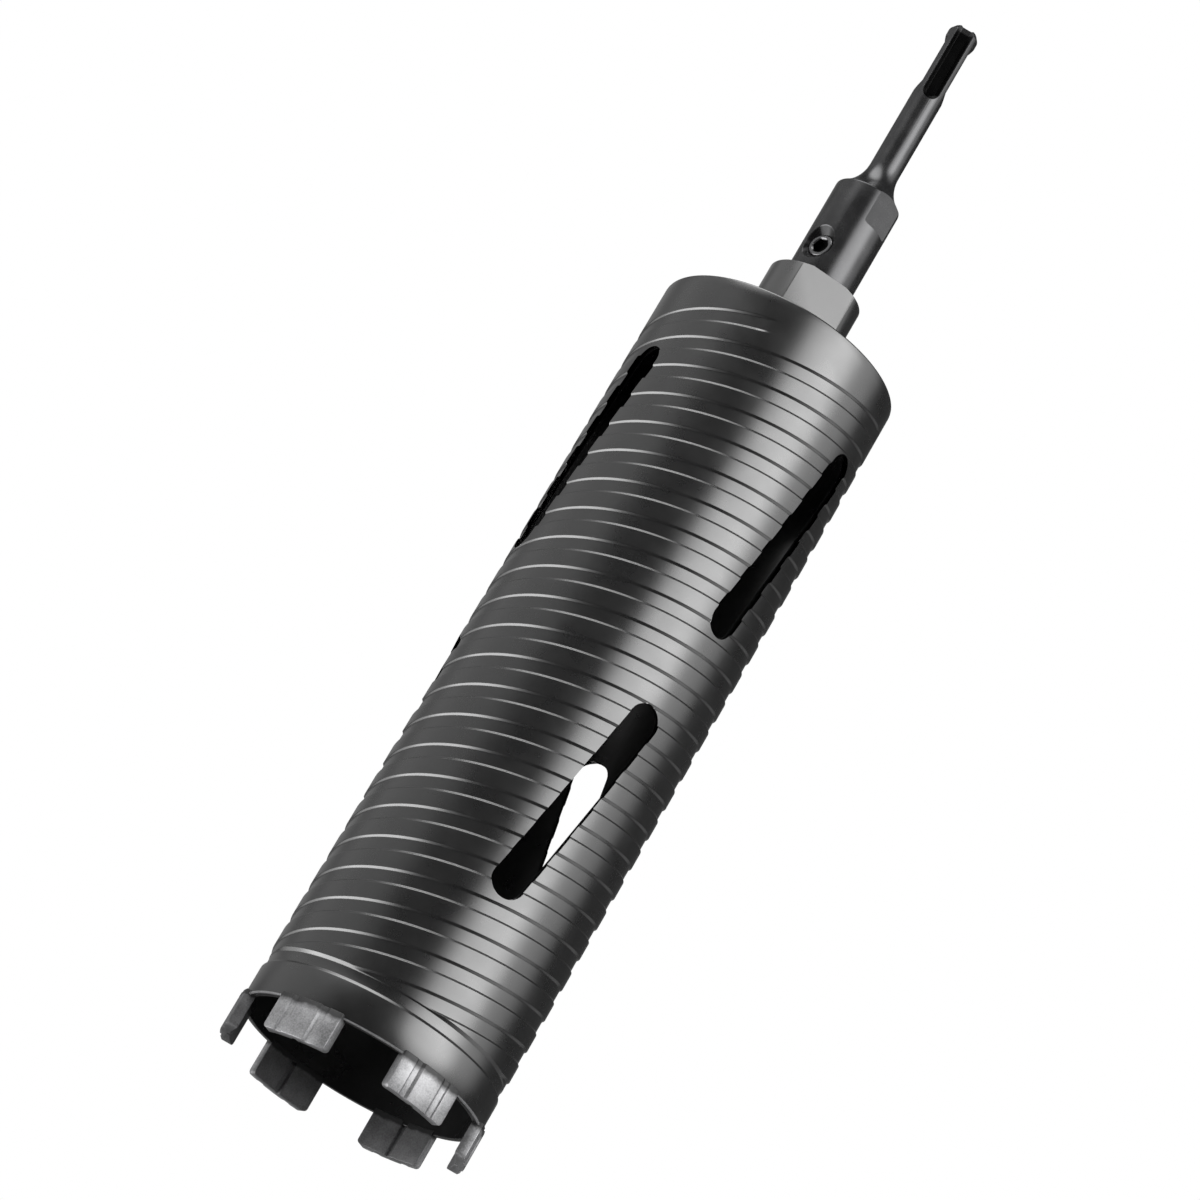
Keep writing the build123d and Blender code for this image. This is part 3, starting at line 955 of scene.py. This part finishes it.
def ball_grooves(cutters):
    """Cutters for the shank's two closed grooves, where a chuck's balls lock."""
    rise = SHANK_RADIUS - BALL_GROOVE_FLOOR
    axis = BALL_GROOVE_FLOOR + BALL_GROOVE_RADIUS
    top = TIP - BALL_GROOVE_DROP
    foot = top - BALL_GROOVE_LENGTH
    stations = (
        (axis - SHANK_RADIUS - rise / 3.3, foot - 1),
        (BALL_GROOVE_RADIUS, foot + 3.3),
        (BALL_GROOVE_RADIUS, top - 1.4),
        (axis - SHANK_RADIUS - rise / 1.4, top + 1),
    )
    for azimuth in (SHANK_AZIMUTH + 90, SHANK_AZIMUTH - 90):
        side = direction(azimuth) * axis
        loops = []
        for radius, height in stations:
            loops.append([side + Vector((x, y, height)) for x, y in circle(radius, 96)])
        loft(cutters, loops)


def add_adapter(steel):
    """The adapter, turned and then milled."""
    adapter = plain_object("adapter", turned(adapter_profile(), 144), steel)
    cutters = bmesh.new()
    for mill in (body_flats, screw_hole, open_grooves, ball_grooves):
        mill(cutters)
    adapter = wear_edges(cut(adapter, cutters), 0.12, 30)
    smooth(adapter, 20)
    dress(adapter, "adapter_steel", "shank_adapter")


def add_screw(steel):
    """The set screw with its hexagon socket."""
    face = SCREW_FACE
    shape = bmesh.new()
    stations = (
        (circle(SCREW_RADIUS - 0.7), face - SCREW_LENGTH),
        (circle(SCREW_RADIUS), face - SCREW_LENGTH + 0.7),
        (circle(SCREW_RADIUS), face - 0.5),
        (circle(SCREW_RADIUS - 0.15), face - 0.15),
        (circle(SCREW_RADIUS - 0.4), face),
        (circle(SOCKET_MOUTH), face),
        (hexagon(SOCKET_FLATS), face - 0.4),
        (hexagon(SOCKET_FLATS), face - SOCKET_DEPTH),
    )
    loft(shape, [facing(SCREW_AZIMUTH, outline, away, SCREW_HEIGHT) for outline, away in stations])
    screw = plain_object("grub_screw", shape, steel)
    smooth(screw, 25)
    dress(screw, "screw_steel", "set_screw")


def add_segment(index, metal):
    """A finished copy of one segment's solid, with its edges worn round."""
    shape = bmesh.new()
    shape.from_mesh(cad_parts[f"segment_{index}"].data)
    bmesh.ops.remove_doubles(shape, verts=shape.verts, dist=0.001 * MM)
    bmesh.ops.dissolve_limit(shape, angle_limit=radians(2), verts=shape.verts, edges=shape.edges)
    segment = plain_object(f"segment_{index}_finished", shape, metal)
    segment = wear_edges(segment, 0.14, 28)
    smooth(segment, 35)
    dress(segment, "segment_metal", f"segment_{index}")


# Studio


def add_world():
    """White to the camera. Otherwise soft lights round the bit, each a disc with a wide faded edge."""
    world = bpy.data.worlds.new("studio")
    world.use_nodes = True
    tree = world.node_tree
    rays = tree.nodes.new("ShaderNodeLightPath").outputs
    towards = tree.nodes.new("ShaderNodeTexCoord").outputs["Generated"]
    level = map_range(tree, rays["Is Diffuse Ray"], 0.0, 1.0, ROOM_IN_GLOSS, ROOM_LIGHT)
    for azimuth, elevation, core, reach, strength in SOFT_LIGHTS:
        near = tree.nodes.new("ShaderNodeVectorMath")
        near.operation = "DOT_PRODUCT"
        tree.links.new(towards, near.inputs[0])
        near.inputs[1].default_value = direction(azimuth, elevation)
        low, high = cos(radians(reach)), cos(radians(core))
        glow = map_range(tree, near.outputs["Value"], low, high, 0.0, strength, "SMOOTHSTEP")
        level = calc(tree, "ADD", level, glow)
    seen = calc(tree, "MAXIMUM", rays["Is Camera Ray"], rays["Is Transmission Ray"])
    background = tree.nodes["Background"]
    background.inputs["Color"].default_value = (1, 1, 1, 1)
    blend = tree.nodes.new("ShaderNodeMix")
    feed(tree, blend.inputs["Factor"], seen)
    feed(tree, blend.inputs["A"], level)
    feed(tree, blend.inputs["B"], 1.0)
    feed(tree, background.inputs["Strength"], blend.outputs["Result"])
    bpy.context.scene.world = world


def add_floor():
    """A pale floor at the tips, which keeps the shadow and is clear from beneath."""
    mesh = bpy.data.meshes.new("floor")
    reach = FLOOR_REACH
    corners = [(-reach, -reach, 0), (reach, -reach, 0), (reach, reach, 0), (-reach, reach, 0)]
    mesh.from_pydata(corners, [], [(0, 1, 2, 3)])
    material = bpy.data.materials.new("floor")
    material.use_nodes = True
    tree = material.node_tree
    shader = tree.nodes["Principled BSDF"]
    shader.inputs["Base Color"].default_value = (FLOOR_GREY, FLOOR_GREY, FLOOR_GREY, 1)
    shader.inputs["Roughness"].default_value = 0.9
    shader.inputs["Specular IOR Level"].default_value = 0.1
    clear = tree.nodes.new("ShaderNodeBsdfTransparent")
    mix = tree.nodes.new("ShaderNodeMixShader")
    side = tree.nodes.new("ShaderNodeNewGeometry").outputs["Backfacing"]
    rays = tree.nodes.new("ShaderNodeLightPath").outputs
    tree.links.new(calc(tree, "MAXIMUM", side, rays["Is Shadow Ray"]), mix.inputs["Fac"])
    tree.links.new(shader.outputs[0], mix.inputs[1])
    tree.links.new(clear.outputs[0], mix.inputs[2])
    tree.links.new(mix.outputs[0], tree.nodes["Material Output"].inputs["Surface"])
    mesh.materials.append(material)
    floor = bpy.data.objects.new("floor", mesh)
    floor.location.z = -FLOOR_DROP
    floor.visible_glossy = False
    bpy.context.scene.collection.objects.link(floor)


add_camera()
add_world()
add_floor()
add_barrel(black_paint("barrel_paint", coat=0.8, coat_ior=1.5))
add_hub(black_paint("hub_paint", coat=1.0, coat_ior=1.8, satin_below=CLOSED_END + 0.1))
add_adapter(turned_steel("adapter_steel", 0.055, 0.1, 0.1, painted_shade_on_adapter))
add_screw(turned_steel("screw_steel", 0.13, 0.22, 0.05, painted_shade_in_socket))
segment_metal = sintered_metal()
for index in range(1, 7):
    add_segment(index, segment_metal)

bpy.context.scene.view_settings.view_transform = "Standard"
